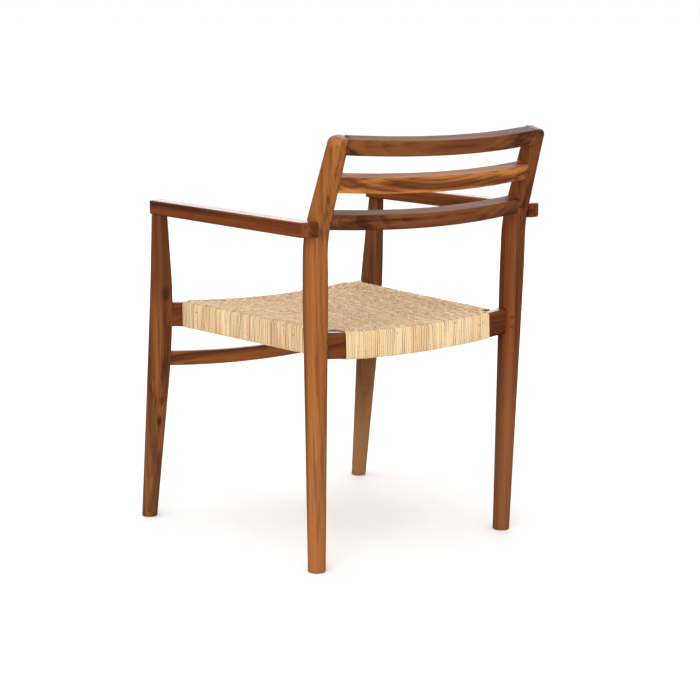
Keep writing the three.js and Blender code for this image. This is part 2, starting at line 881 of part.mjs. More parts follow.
function seat() {
  const group = new THREE.Group();
  group.add(node('front_seat_rail', seatCrossRail(frontRailSpec), teak));
  group.add(node('rear_seat_rail', cutPegHoles(seatCrossRail(rearRailSpec), [1, -1]), teak));
  group.add(node('left_seat_rail', sideRail(1), teak));
  group.add(node('right_seat_rail', sideRail(-1), teak));
  group.add(node('front_stretcher', crossRail(stretcherSpec), teak));
  group.add(node('front_cane_wrap', crossSleeve(frontRailSpec, frontSleeveHalf), cane));
  group.add(node('rear_cane_wrap', crossSleeve(rearRailSpec, rearSleeveHalf), cane));
  group.add(node('left_cane_wrap', sideSleeve(1), cane));
  group.add(node('right_cane_wrap', sideSleeve(-1), cane));
  group.add(node('woven_panel', wovenPanel(), cane));
  return group;
}

const chair = new THREE.Group();
chair.add(legsAndArms(1, 'left'), legsAndArms(-1, 'right'), back(), seat());

const extent = new THREE.Box3().setFromObject(chair);
chair.position.y = -extent.getCenter(new THREE.Vector3()).y;

export default chair;
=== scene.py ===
import math
import random
from typing import NamedTuple

import bmesh
import bpy
from bpy.props import FloatProperty, FloatVectorProperty, IntProperty, PointerProperty
from mathutils import Matrix, Vector


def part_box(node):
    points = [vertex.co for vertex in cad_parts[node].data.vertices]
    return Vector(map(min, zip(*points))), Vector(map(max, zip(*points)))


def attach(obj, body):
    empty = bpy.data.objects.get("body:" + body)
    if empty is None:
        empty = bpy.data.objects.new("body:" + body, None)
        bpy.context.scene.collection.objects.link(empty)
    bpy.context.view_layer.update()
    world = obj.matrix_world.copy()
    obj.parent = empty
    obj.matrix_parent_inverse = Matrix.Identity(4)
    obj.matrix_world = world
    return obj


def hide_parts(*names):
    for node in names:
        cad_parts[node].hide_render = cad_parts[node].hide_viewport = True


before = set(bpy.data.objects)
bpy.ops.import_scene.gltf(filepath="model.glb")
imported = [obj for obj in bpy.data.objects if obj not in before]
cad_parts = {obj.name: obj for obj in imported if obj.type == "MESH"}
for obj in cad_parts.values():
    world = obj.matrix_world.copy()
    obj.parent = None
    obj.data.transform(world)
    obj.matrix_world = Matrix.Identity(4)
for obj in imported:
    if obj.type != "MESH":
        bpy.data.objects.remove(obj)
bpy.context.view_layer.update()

bl_info = {
    "name": "Cane-seated teak armchair",
    "version": (1, 0, 0),
    "blender": (4, 5, 0),
    "location": "3D View > Sidebar > Armchair",
    "description": "Dresses an open-backed teak armchair with a hand-woven cane seat",
    "category": "Object",
}

MM = 0.001

# The leg drawings, in millimetres from the middle of the rear feet

DRAWING_SHIFT = 204.91
BEND_HEIGHT = 612.0
BEND_SETBACK = 12.0
BEND_EASE = 34.0
RAKE = math.radians(19.3)
STILE_LENGTH = 190.0
STILE_CORNER = 17.0
SAWN_SLOPE = math.radians(14.5)
TAPER_EASE = 45.0
FOOT_BREAK = 1.5
REAR_LENGTH = BEND_HEIGHT + STILE_LENGTH
FRONT_LENGTH = 615.7

REAR_WIDTH = ((0, 32.4), (535, 38), (802, 31))
REAR_DEPTH = ((0, 32.4), (535, 48), (802, 33))
REAR_PLACE = ((0, 226.5), (612, 236.5), (802, 230))
REAR_SQUARENESS = ((0, 2), (535, 2.8), (802, 3.2))
FRONT_WIDTH = ((0, 30.6), (320, 39), (450, 39), (615.7, 26.5))
FRONT_DEPTH = ((0, 30.6), (320, 47), (450, 47), (615.7, 29))
FRONT_SQUARENESS = ((0, 2), (320, 2.8), (615.7, 2.8))
FRONT_OUTER = ((0, 284), (615.7, 282))
FRONT_EDGE = ((0, -522.8), (615.7, -462))

EASE_STEPS = 3  # places on each side that an eased value is averaged over
CROWN_START = 2.0  # from the last straight section of a stile to its rolled top edge
CROWN_ROLLS = 9  # steps over the rolled edge
CROWN_RINGS = 8  # steps from there to the middle of the top
RAILWARD = 0.8  # share of a stile's half width over which its edge sharpens to the rail
SLAT_PEG_HOLE, RAIL_PEG_HOLE = 2.45, 2.7  # radii
PEG_HOLE_DEPTH, PEG_HOLE_SHIFT = 30.0, 6.0

# The seat drawings, in millimetres from the middle of the chair

SEAT_TOP = 445.7
FRONT_SAG, FRONT_SPAN = 15.5, 260.0
REAR_SAG, REAR_SPAN = 12.5, 235.5
SEAT_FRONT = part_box("front_cane_wrap")[1].y / MM
SEAT_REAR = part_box("rear_cane_wrap")[0].y / MM
RAIL_WRAP_HEIGHT = 52.8

# The edge layer holds painted shade along each strand's sides, at the ends of floats and over the
# wraps' tops
STRAND_LAYERS = ("tint", "rosy", "edge")
RING_STEPS = 12  # points along a strand that goes round a rail, three at each corner
TOP_STEPS = (2, 3)  # those of them that face up
TOP_SHADE = 0.8  # how dark those are painted, for the shade of the strands woven over them
TIGHT_TURN, WIDE_TURN = 1.6, 6.5  # radii of a strand at the panel's corner and at the others
CROSS_STRAY, SIDE_STRAY = 0.25, 0.22  # how far a strand strays from its place
WRAP_WIDTHS, WEAVE_WIDTHS = (0.86, 1.1), (0.86, 1.08)  # least and greatest share of its place
PRESSED = 0.9  # share of its thickness that a woven strand keeps
FLOAT_REACH = 0.28  # share of a crossing that a strand runs flat on each side of its middle
TUCK = 1.35  # how many strands far an end runs on under the wrap that it meets
FLUSH_TUCK = -0.2  # the same over a rail, where an end stops short
END_RISE = 0.55
# how dark a woven strand's sides are painted, for the shade between strands
EDGE_SHADE = 1.3
PANEL_SINK, CROSS_SINK, SIDE_SINK = 1.5, 0.4, 0.5  # middle of the weave under the seat's top


def linear(red, green, blue):
    """Scene colour of three screen values from 0 to 255."""
    shares = (v / 255 for v in (red, green, blue))
    return tuple(s / 12.92 if s <= 0.04045 else ((s + 0.055) / 1.055) ** 2.4 for s in shares)


# Sizes and colours that a user would change

def colour(name, description, value):
    return FloatVectorProperty(
        name=name, description=description, default=linear(*value),
        size=3, min=0, max=1, subtype="COLOR")


def length(name, description, millimetres):
    return FloatProperty(
        name=name, description=description, default=millimetres * MM,
        min=0, unit="LENGTH", precision=5)


def share(name, description, value):
    return FloatProperty(
        name=name, description=description, default=value, min=0, max=1, subtype="FACTOR")


def power(name, description, watts):
    return FloatProperty(
        name=name, description=description, default=watts, min=0, unit="POWER")


class ArmchairLegs(bpy.types.PropertyGroup):
    """How finely the legs are carved."""
    facets: IntProperty(
        name="Facets", description="Points round one leg section", default=48, min=12, max=96)
    ring_step: length("Ring step", "Length of leg between two sections", 9)
    top_roll: length("Top edge", "Radius of the rolled edge round a stile's top", 6)
    joint_roll: length("Joint edge", "Radius of the same edge beside the top rail", 0.7)


class ArmchairTeak(bpy.types.PropertyGroup):
    """The oiled teak of the frame."""
    pale: colour("Pale wood", "Wood between the growth rings", (160, 96, 42))
    deep: colour("Deep wood", "Late wood of the growth rings", (94, 44, 16))
    streak: colour("Streaks", "Dark mineral streaks and knots", (42, 18, 8))
    # painted light: a lighter colour laid over the lower legs, standing in for light under the
    # seat
    foot_light: colour("Worn wood", "Dry wood towards the feet", (196, 140, 92))
    ring_gap: length("Ring gap", "Distance between two growth rings", 5.6)
    roughness: share("Roughness", "Roughness of the oiled surface", 0.36)
    oil: share("Oil", "Weight of the rubbed oil film", 0.13)


class ArmchairPegs(bpy.types.PropertyGroup):
    """The end grain of pegs and dowels."""
    wood: colour("End grain", "Oiled end grain", (74, 38, 20))
    ring: colour("Rim", "Glue line and dirt round a peg", (28, 13, 8))


class ArmchairCane(bpy.types.PropertyGroup):
    """The split cane of the seat."""
    rail_strands: IntProperty(
        name="Rail strands", description="Strands round the front and the rear rail",
        default=77, min=20, max=120)
    side_strands: IntProperty(
        name="Side strands", description="Strands round each side rail",
        default=98, min=20, max=140)
    thickness: length("Strand thickness", "Thickness of one split strand", 1.2)
    crimp: length("Crimp", "Rise of a strand over the one that it crosses", 0.75)
    brim: length("Brim", "Width along a wrap's outer edge that the weave leaves bare", 5)
    lean: length("Lean", "How far a bundle leans from top to bottom of a rail", 1.6)
    fit: share("Fit", "Share of its place that a strand fills", 0.95)
    straw: colour("Straw", "Most of the strands", (229, 198, 150))
    pale: colour("Pale straw", "The brightest strands", (243, 220, 178))
    tan: colour("Tan", "The darkest strands", (206, 160, 120))
    rose: colour("Rosy tan", "A few strands from a redder stem", (214, 166, 130))
    # also the colour of the painted shade between strands
    fleck_and_shade: colour("Flecks", "Nodes and bruises of the stem", (96, 60, 34))
    roughness: share("Roughness", "Roughness of the cane's skin", 0.5)


class ArmchairStudio(bpy.types.PropertyGroup):
    """Floor, light and camera."""
    floor: colour("Floor", "Plain pale floor", (246, 246, 246))
    sky: share("Surround", "Brightness of the room round the floor", 0.4)
    mirrored: share("Mirrored surround", "Brightness of the room in the wood's sheen", 0.06)
    mirrored_above: share("Mirrored ceiling", "The same of the room overhead", 1.0)
    ceiling: FloatProperty(
        name="Ceiling", description="Strength of the wide even light overhead", default=2.6, min=0)
    key: power("Key", "Power of the main softbox", 32)
    fill: power("Fill", "Power of the low panel", 16)
    rim: power("Rim", "Power of the panel behind the chair", 60)
    lens: FloatProperty(name="Lens", description="Focal length in millimetres", default=92.097)
    eye: FloatVectorProperty(
        name="Eye", description="Place of the camera", default=(2.0983, 2.7103, 0.9929),
        size=3, subtype="TRANSLATION")
    aim: FloatVectorProperty(
        name="Aim", description="Pitch down, turn and roll of the camera",
        default=[math.radians(a) for a in (10.5689, 37.8725, -0.0212)], size=3, subtype="EULER")


# Shader sums

class Value:
    """A shader socket that takes part in Python sums."""

    def __init__(self, make, socket):
        self.make, self.socket = make, socket

    def _sum(self, operation, *terms):
        return self.make.node("Math", {"operation": operation}, dict(enumerate(terms)))

    def __add__(self, other): return self._sum("ADD", self, other)
    def __radd__(self, other): return self._sum("ADD", other, self)
    def __sub__(self, other): return self._sum("SUBTRACT", self, other)
    def __rsub__(self, other): return self._sum("SUBTRACT", other, self)
    def __mul__(self, other): return self._sum("MULTIPLY", self, other)
    def __rmul__(self, other): return self._sum("MULTIPLY", other, self)
    def __truediv__(self, other): return self._sum("DIVIDE", self, other)
    def part(self): return self._sum("FRACT", self)
    def root(self): return self._sum("SQRT", self)


class Nodes:
    """Makes the nodes of one material or world."""

    def __init__(self, owner):
        owner.use_nodes = True
        self.tree = owner.node_tree
        self.tree.nodes.clear()

    def node(self, kind, settings=None, sockets=None, out=0):
        made = self.tree.nodes.new("ShaderNode" + kind)
        for key, setting in (settings or {}).items():
            if key == "stops":
                ramp = made.color_ramp
                while len(ramp.elements) < len(setting):
                    ramp.elements.new(0.5)
                for element, (place, level) in zip(ramp.elements, setting):
                    element.position = place
                    element.color = (level, level, level, 1)
            else:
                setattr(made, key, setting)
        for key, value in (sockets or {}).items():
            if isinstance(value, Value):
                self.tree.links.new(value.socket, made.inputs[key])
            else:
                made.inputs[key].default_value = value
        return Value(self, made.outputs[out]) if made.outputs else None

    def noise(self, at, scale, shift, detail=2, rough=0.5):
        drawn = self.node("Mapping", None, {
            "Vector": at, "Location": (shift, 1.7 * shift, -2.3 * shift), "Scale": scale})
        return self.node("TexNoise", None, {
            "Vector": drawn, "Scale": 1.0, "Detail": detail, "Roughness": rough})

    def between(self, value, low, high):
        """0 below low, 1 above high, eased between them."""
        return self.node("MapRange", {"interpolation_type": "SMOOTHSTEP"},
                         {"Value": value, "From Min": low, "From Max": high})

    def blend(self, first, second, amount):
        """From the first colour to the second."""
        ends = [c if isinstance(c, Value) else (*c, 1) for c in (first, second)]
        return self.node("Mix", {"data_type": "RGBA"}, {0: amount, 6: ends[0], 7: ends[1]}, 2)

    def parts(self, vector):
        split = self.node("SeparateXYZ", None, {0: vector}).socket.node
        return [Value(self, o) for o in split.outputs]


class Finish(Nodes):
    """One material."""

    def __init__(self, name):
        self.material = bpy.data.materials.new(name)
        super().__init__(self.material)

    def surface(self, values):
        shader = self.node("BsdfPrincipled", None, values)
        self.node("OutputMaterial", None, {"Surface": shader})
        return self.material


# Teak

ALONG_X = (0.0, math.pi / 2, 0.0)
ALONG_Y = (-math.pi / 2, 0.0, 0.0)
ALONG_Z = (0.0, 0.0, 0.0)

RING_STOPS = ((0.0, 0.15), (0.45, 0.3), (0.78, 0.75), (0.9, 1.0), (1.0, 0.15))
RING_WANDER = 0.02  # metres that the rings wander about their circle
WANDER_SCALE = (14, 14, 3.2)  # noise scales, twice across and once along the grain
STREAK_SCALE = (150, 150, 1.8)
FIBRE_SCALE = (900, 900, 14)
PORE_SCALE = (2100, 2100, 95)
KNOT_SQUEEZE = 0.55  # a knot's mark is this much narrower than it is long
KNOT_REACH, KNOT_PUSH = 3.2, 0.9  # in radii: how far round it the rings swerve, and by how much
TOP_SHADE_SPAN = (0.08, 0.18)  # metres over a leg's middle between which painted shade sets in
FOOT_LIGHT_SPAN = (-0.26, 0.02)  # the same for painted light towards the foot, which ends at the upper place


class Plank(NamedTuple):
    """How one plank was sawn from its log, what its face has been through, and the light and shade
    painted along it.
    """
    turn: tuple  # lays the grain along the piece
    tone: tuple  # factors on the wood's colours, one for each channel
    seed: float
    pith: tuple = (20, 70)  # millimetres across from the piece's middle to the log's heart
    drift: tuple = (0.012, 0.01)  # how far the heart runs off for each unit of length
    knots: tuple = ()  # places in millimetres from the piece's middle, and radii
    bands: tuple = (42, 1.1)  # noise scales of the broad figure, across and along
    figure: float = 1.0  # strength of that figure
    sheen: float = 1.0  # share of the oil film that is left
    # share of painted light laid towards the foot
    foot_light: float = 0.0
    # share of painted shade laid over the top
    painted_top_shade: float = 0.0


PLANKS = {
    "left_rear_leg": Plank(
        ALONG_Z, (0.93, 0.93, 0.83), 1.0, (58, -96), (0.02, 0.012), figure=0.62, foot_light=0.1),
    "right_rear_leg": Plank(
        ALONG_Z, (0.54, 0.44, 0.34), 4.0, (-64, 70), (-0.02, 0.01), figure=0.85, foot_light=0.35),
    "left_front_leg": Plank(
        ALONG_Z, (0.67, 0.63, 0.53), 7.0, (60, 30), (0.03, -0.015),
        knots=(((3, 44, 145), 13), ((2, 18, -70), 10), ((6, 14, -112), 9), ((0, 20, -44), 6)),
        foot_light=0.15, painted_top_shade=0.55),
    "right_front_leg": Plank(
        ALONG_Z, (0.61, 0.59, 0.54), 11.0, (-48, 66), (0.015, 0.015),
        knots=(((8, 9, -128), 9), ((8, 8, -164), 6)), foot_light=0.8, painted_top_shade=0.55),
    "left_arm": Plank(ALONG_Y, (0.48, 0.35, 0.2), 14.0, (30, 80), (0.012, 0.008), sheen=0.7),
    "right_arm": Plank(ALONG_Y, (0.55, 0.44, 0.32), 17.0, (30, 80), (0.012, 0.008), sheen=0.7),
    "lower_slat": Plank(
        ALONG_X, (0.52, 0.48, 0.46), 20.0, (18, 85), (0.008, 0.01), bands=(52, 2.0), figure=1.5),
    "middle_slat": Plank(
        ALONG_X, (1.4, 1.5, 1.3), 23.0, (-14, 74), (-0.01, 0.004), bands=(52, 2.0), figure=1.5),
    "top_rail": Plank(
        ALONG_X, (0.55, 0.5, 0.42), 26.0, (12, 96), (0.006, -0.012), bands=(52, 2.0), figure=1.5),
    "front_seat_rail": Plank(ALONG_X, (0.48, 0.4, 0.32), 30.0),
    "rear_seat_rail": Plank(ALONG_X, (0.48, 0.39, 0.3), 33.0),
    "left_seat_rail": Plank(ALONG_Y, (0.5, 0.44, 0.4), 36.0),
    "right_seat_rail": Plank(ALONG_Y, (0.5, 0.44, 0.4), 39.0),
    "front_stretcher": Plank(ALONG_X, (0.95, 0.9, 0.83), 42.0),
}


def toned(colour_of_wood, tone):
    """A colour made lighter or darker by one factor per channel."""
    return tuple(min(1.0, channel * level) for channel, level in zip(colour_of_wood, tone))


def knot_marks(make, at, knots):
    """How far knots push the rings aside, and how dark their cores are."""
    push = core = 0.0
    squeezed = (1, 1, KNOT_SQUEEZE)
    for place, radius in knots:
        centre = tuple(p * MM * s for p, s in zip(place, squeezed))
        drawn = make.node("VectorMath", {"operation": "MULTIPLY"}, {0: at, 1: squeezed})
        off = make.node("VectorMath", {"operation": "DISTANCE"}, {0: drawn, 1: centre}, 1)
        near = 1 - make.between(off, 0.0, radius * KNOT_REACH * MM)
        push = push + near * (radius * KNOT_PUSH * MM)
        core = core + (1 - make.between(off, radius * 0.2 * MM, radius * MM))
    return push, core


def teak_finish(node):
    """Oiled teak for one drawn piece, sawn as its plank says."""
    wood = bpy.context.scene.armchair_teak
    plank = PLANKS[node]
    pale, deep, streak, foot_light = (
        toned(c, plank.tone) for c in (wood.pale, wood.deep, wood.streak, wood.foot_light))
    make = Finish(f"teak_{node}")
    at = make.node("Mapping", {"vector_type": "TEXTURE"}, {
        "Vector": make.node("TexCoord", out="Object"),
        "Location": middle(node), "Rotation": plank.turn})
    x, y, z = make.parts(at)

    push, knot_core = knot_marks(make, at, plank.knots)
    off_x = x - plank.pith[0] * MM - z * plank.drift[0]
    off_y = y - plank.pith[1] * MM - z * plank.drift[1]
    wander = make.noise(at, WANDER_SCALE, plank.seed, 3) * RING_WANDER
    from_heart = (off_x * off_x + off_y * off_y).root() + wander + push
    ring = make.node("ValToRGB", {"stops": RING_STOPS}, {0: (from_heart / wood.ring_gap).part()})

    across, along = plank.bands
    broad = make.noise(at, (across, across, along), plank.seed + 3.1)
    streaks = make.noise(at, STREAK_SCALE, plank.seed + 2.2, 1)
    fibre = make.noise(at, FIBRE_SCALE, plank.seed + 5.7, 3, 0.6)
    pores = make.between(make.noise(at, PORE_SCALE, plank.seed + 8.3), 0.62, 0.70)

    # Late wood is deep, most of all inside the broad bands
    late_wood = ring * (0.3 + 0.35 * make.between(broad, 0.3, 0.65))
    depth = (late_wood * min(1, plank.figure)
             + make.between(fibre, 0.35, 0.75) * 0.18
             + make.between(broad, 0.4, 0.64) * (0.45 * plank.figure)
             + make.between(streaks, 0.42, 0.7) * 0.25
             - (0.08 + 0.06 * (plank.figure - 1)))
    base = make.blend(pale, deep, depth)

    # The darkest marks lie over that
    marks = (make.between(broad, 0.56, 0.7) * 0.3 + make.between(streaks, 0.6, 0.72) * 0.3
             + pores * 0.4 + knot_core * 0.9)
    base = make.blend(base, streak, marks)
    # Painted shade: darker over the top of a leg
    if plank.painted_top_shade:
        base = make.blend(base, deep, make.between(z, *TOP_SHADE_SPAN) * plank.painted_top_shade)
    # Painted light: lighter towards the foot
    if plank.foot_light:
        base = make.blend(base, foot_light, (1 - make.between(z, *FOOT_LIGHT_SPAN)) * plank.foot_light)

    grain = fibre * 0.6 - pores - ring * 0.3
    return make.surface({
        "Base Color": base,
        "Roughness": 0.12 * pores + 0.1 * fibre + (wood.roughness - 0.05),
        "Normal": make.node("Bump", None, {
            "Strength": 0.35, "Distance": 0.2 * MM, "Height": grain}),
        "Coat Weight": wood.oil * plank.sheen,
        "Coat Roughness": 0.24,
        "Specular IOR Level": 0.2 * plank.sheen,
    })


def peg_finish():
    """Oiled end grain with dark clouds and tiny open pores."""
    pegs = bpy.context.scene.armchair_pegs
    make = Finish("peg_end_grain")
    at = make.node("TexCoord", out="Object")
    pores = make.noise(at, (1900, 1900, 1900), 2.0)
    clouds = make.noise(at, (320, 320, 320), 4.0, 3)
    base = make.blend(pegs.wood[:], pegs.ring[:], make.between(clouds, 0.35, 0.7))
    base = make.blend(base, pegs.ring[:], make.between(pores, 0.6, 0.7) * 0.7)
    return make.surface({
        "Base Color": base,
        "Roughness": 0.45 + 0.2 * pores,
        "Normal": make.node("Bump", None, {
            "Strength": 0.4, "Distance": 0.2 * MM, "Height": 1 - pores}),
        "Coat Weight": 0.15,
        "Coat Roughness": 0.3,
    })


def cane_finish(name, fibre_scale):
    """Split cane, whose fibres run where their noise scale is smallest."""
    cane = bpy.context.scene.armchair_cane
    make = Finish(name)
    at = make.node("TexCoord", out="Object")
    tint, rosy, edge = (
        make.node("Attribute", {"attribute_name": layer}, out="Fac") for layer in STRAND_LAYERS)
    fibre = make.noise(at, fibre_scale, 1.3, 3, 0.65)
    slow = make.noise(at, tuple(max(s * 0.12, 9) for s in fibre_scale), 7.9)
    spots = make.noise(at, (260, 260, 300), 4.4)
    nodes = make.noise(at, (120, 120, 170), 9.1, 1)
    marks = make.between(spots, 0.68, 0.75) * 0.6 + make.between(nodes, 0.71, 0.76) * 0.6

    base = make.blend(cane.tan[:], cane.pale[:], make.between(tint, 0.0, 1.0))
    for layer, amount in (
            (cane.straw, 0.45),
            (cane.rose, rosy * 0.6),
            (cane.tan, make.between(fibre, 0.5, 0.78) * 0.55
             + make.between(slow, 0.5, 0.8) * 0.35),
            (cane.pale, make.between(fibre, 0.5, 0.24) * 0.4),
            # weighed by the edge layer this is painted shade between strands
            (cane.fleck_and_shade, edge * 0.2),
            (cane.fleck_and_shade, marks)):
        base = make.blend(base, layer[:], amount)
    return make.surface({
        "Base Color": base,
        "Roughness": 0.2 * fibre + (cane.roughness - 0.1),
        "Normal": make.node("Bump", None, {
            "Strength": 0.4, "Distance": 0.3 * MM, "Height": fibre * 0.7 - marks * 0.4}),
        "Coat Weight": 0.03,
        "Coat Roughness": 0.35,
        "Specular IOR Level": 0.25,
    })


# Making pieces

def mesh_of(bm, name):
    """The mesh that a bmesh has become."""
    mesh = bpy.data.meshes.new(name)
    bm.to_mesh(mesh)
    bm.free()
    return mesh


def placed(name, data):
    """A new object in the scene."""
    made = bpy.data.objects.new(name, data)
    bpy.context.scene.collection.objects.link(made)
    return made


def piece(bm, name, finish, node):
    """A finished piece that stands for its drawn node."""
    made = placed(name, mesh_of(bm, name))
    made.data.materials.append(finish)
    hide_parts(node)
    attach(made, "root")
    return made


def soften(made, crease):
    """Smooth faces with edges crisp past a crease in degrees, shaded by the size of the faces."""
    made.data.shade_smooth()
    made.data.set_sharp_from_angle(angle=math.radians(crease))
    modifier = made.modifiers.new("face_weights", "WEIGHTED_NORMAL")
    modifier.keep_sharp = True
    modifier.weight = 80


def plane_piece(node):
    """A piece planed to its drawn shape, merged and smoothed."""
    bm = bmesh.new()
    bm.from_mesh(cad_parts[node].data)
    bmesh.ops.remove_doubles(bm, verts=bm.verts, dist=0.02 * MM)
    bmesh.ops.dissolve_degenerate(bm, edges=bm.edges, dist=0.02 * MM)
    bmesh.ops.dissolve_limit(
        bm, angle_limit=math.radians(0.8), verts=bm.verts, edges=bm.edges)
    soften(piece(bm, f"planed_{node}", teak_finish(node), node), 50)


def middle(node):
    low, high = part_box(node)
    return tuple((low + high) / 2)


def clamped(value):
    return max(0.0, min(1.0, value))


def smooth_step(part):
    return part * part * (3 - 2 * part)


def eased(stations, ease):
    """Straight-line values between stations, eased over a window where they turn."""
    steps = range(-EASE_STEPS, EASE_STEPS + 1)

    def straight(t):
        if t <= stations[0][0]:
            return stations[0][1]
        for (t0, v0), (t1, v1) in zip(stations, stations[1:]):
            if t <= t1:
                return v0 + (v1 - v0) * (t - t0) / (t1 - t0)
        return stations[-1][1]

    def value(t):
        reach = max(0.0, min(ease, t - stations[0][0], stations[-1][0] - t))
        return sum(straight(t + i / EASE_STEPS * reach) for i in steps) / len(steps)
    return value


REAR = [eased(s, TAPER_EASE) for s in (REAR_WIDTH, REAR_DEPTH, REAR_PLACE, REAR_SQUARENESS)]
FRONT = [eased(s, TAPER_EASE) for s in (FRONT_WIDTH, FRONT_DEPTH, FRONT_SQUARENESS)]
FRONT += [eased(s, 0) for s in (FRONT_OUTER, FRONT_EDGE)]


def rear_line(t):
    """Y and Z of the rear leg's centre line at a length from the foot."""
    def straight(s):
        if s <= BEND_HEIGHT:
            return Vector((BEND_SETBACK * s / BEND_HEIGHT, s))
        past = s - BEND_HEIGHT
        return Vector((BEND_SETBACK + past * math.sin(RAKE), BEND_HEIGHT + past * math.cos(RAKE)))
    off = max(-1.0, min(1.0, (t - BEND_HEIGHT) / BEND_EASE))
    if abs(off) == 1:
        return straight(t)
    bend = straight(BEND_HEIGHT)
    part = (off + 1) / 2
    low = straight(BEND_HEIGHT - BEND_EASE).lerp(bend, part)
    return low.lerp(bend.lerp(straight(BEND_HEIGHT + BEND_EASE), part), part)


def rear_section(t):
    """Centre, width, depth, squareness and tilt of the rear leg."""
    width, depth, place, squareness = (track(t) for track in REAR)
    y, z = rear_line(t)
    tilt = RAKE * clamped((t - BEND_HEIGHT + BEND_EASE) / (2 * BEND_EASE))
    return (place, y, z), width, depth, squareness, tilt


def front_section(t):
    """The same of the front leg, which leans with a straight front edge and outer face."""
    width, depth, squareness, outer, edge = (track(t) for track in FRONT)
    return (outer - width / 2, edge + depth / 2, t), width, depth, squareness, 0.0


def turned_power(value, exponent):
    return math.copysign(abs(value) ** exponent, value)


def leg_point(x, y, z, across, back, tilt):
    """Scene place of a point that lies across and back from a section's centre."""
    return Vector((
        x + across,
        y + back * math.cos(tilt) + DRAWING_SHIFT,
        z - back * math.sin(tilt))) * MM


def crown_point(turn, side, roll, shrink):
    """A point of a stile's top: roll climbs its rounded edge, shrink runs from there inwards."""
    legs = bpy.context.scene.armchair_legs
    (place, _, _), width, depth, squareness, tilt = rear_section(REAR_LENGTH - STILE_CORNER)
    exponent = 2 / squareness
    outward = smooth_step(clamped((side * math.cos(turn) + RAILWARD) / RAILWARD))
    edge = (legs.joint_roll + (legs.top_roll - legs.joint_roll) * outward) / MM
    inset = edge * (1 - math.cos(roll * math.pi / 2))
    drop = edge * (1 - math.sin(roll * math.pi / 2))
    across = (width / 2 - inset) * shrink * turned_power(math.cos(turn), exponent)
    back = (depth / 2 - inset) * shrink * turned_power(math.sin(turn), exponent)
    over = max(0.0, side * across - width / 2 + STILE_CORNER)
    rounding = STILE_CORNER - math.sqrt(max(0.0, STILE_CORNER ** 2 - over ** 2))
    along = STILE_LENGTH - (depth / 2 - back) * math.tan(RAKE - SAWN_SLOPE) - rounding - drop
    return leg_point(side * place, *rear_line(BEND_HEIGHT + along), across, back, tilt)


def carve_leg(section, stations, side, crown=()):
    """A leg pulled up from its foot, section by section, and over its crown."""
    facets = bpy.context.scene.armchair_legs.facets
    bm = bmesh.new()
    turn = bm.verts.layers.float.new("turn")
    foot = bmesh.ops.create_circle(bm, cap_ends=True, segments=facets, radius=1)["verts"]
    for vert in foot:
        vert[turn] = math.atan2(vert.co.y, vert.co.x)

    def shape(ring, t, less):
        (x, y, z), width, depth, squareness, tilt = section(t)
        for vert in ring:
            across = (width / 2 - less) * turned_power(math.cos(vert[turn]), 2 / squareness)
            back = (depth / 2 - less) * turned_power(math.sin(vert[turn]), 2 / squareness)
            vert.co = leg_point(side * x, y, z, across, back, tilt)

    def pull(edges):
        grown = bmesh.ops.extrude_edge_only(bm, edges=edges)["geom"]
        ring = [g for g in grown if isinstance(g, bmesh.types.BMVert)]
        return ring, [g for g in grown if isinstance(g, bmesh.types.BMEdge) and g.is_boundary]

    shape(foot, 0, FOOT_BREAK)
    edges = list(bm.edges)
    for t in stations:
        ring, edges = pull(edges)
        shape(ring, t, 0)
    for roll, shrink in crown:
        ring, edges = pull(edges)
        for vert in ring:
            vert.co = crown_point(vert[turn], side, roll, shrink)
    bmesh.ops.edgeloop_fill(bm, edges=edges)
    bmesh.ops.recalc_face_normals(bm, faces=bm.faces)
    return bm


def cut(made, tool):
    """Cuts a tool's solid out of a piece and throws the tool away."""
    cutter = placed("cutter", mesh_of(tool, "cutter"))
    modifier = made.modifiers.new("cut", "BOOLEAN")
    modifier.operation, modifier.solver, modifier.object = "DIFFERENCE", "EXACT", cutter
    result = bpy.data.meshes.new_from_object(
        made.evaluated_get(bpy.context.evaluated_depsgraph_get()))
    made.modifiers.remove(modifier)
    spent = made.data, cutter.data
    made.data = result
    bpy.data.objects.remove(cutter)
    for mesh in spent:
        bpy.data.meshes.remove(mesh)


def add_peg_hole(tool, node, axis, radius):
    """A round cutter about a drawn peg, running out through the back of the leg."""
    turn = axis.to_track_quat("Z", "Y").to_matrix().to_4x4()
    centre = Vector(middle(node)) + axis * PEG_HOLE_SHIFT * MM
    bmesh.ops.create_cone(
        tool, cap_ends=True, segments=24, radius1=radius * MM, radius2=radius * MM,
        depth=PEG_HOLE_DEPTH * MM, matrix=Matrix.Translation(centre) @ turn)


def ring_places(last):
    """Lengths of leg at which a section is drawn, from the foot's broken edge to the last."""
    count = round(last / (bpy.context.scene.armchair_legs.ring_step / MM))
    return [FOOT_BREAK] + [last * i / count for i in range(1, count + 1)]


LEG_CREASE = 44


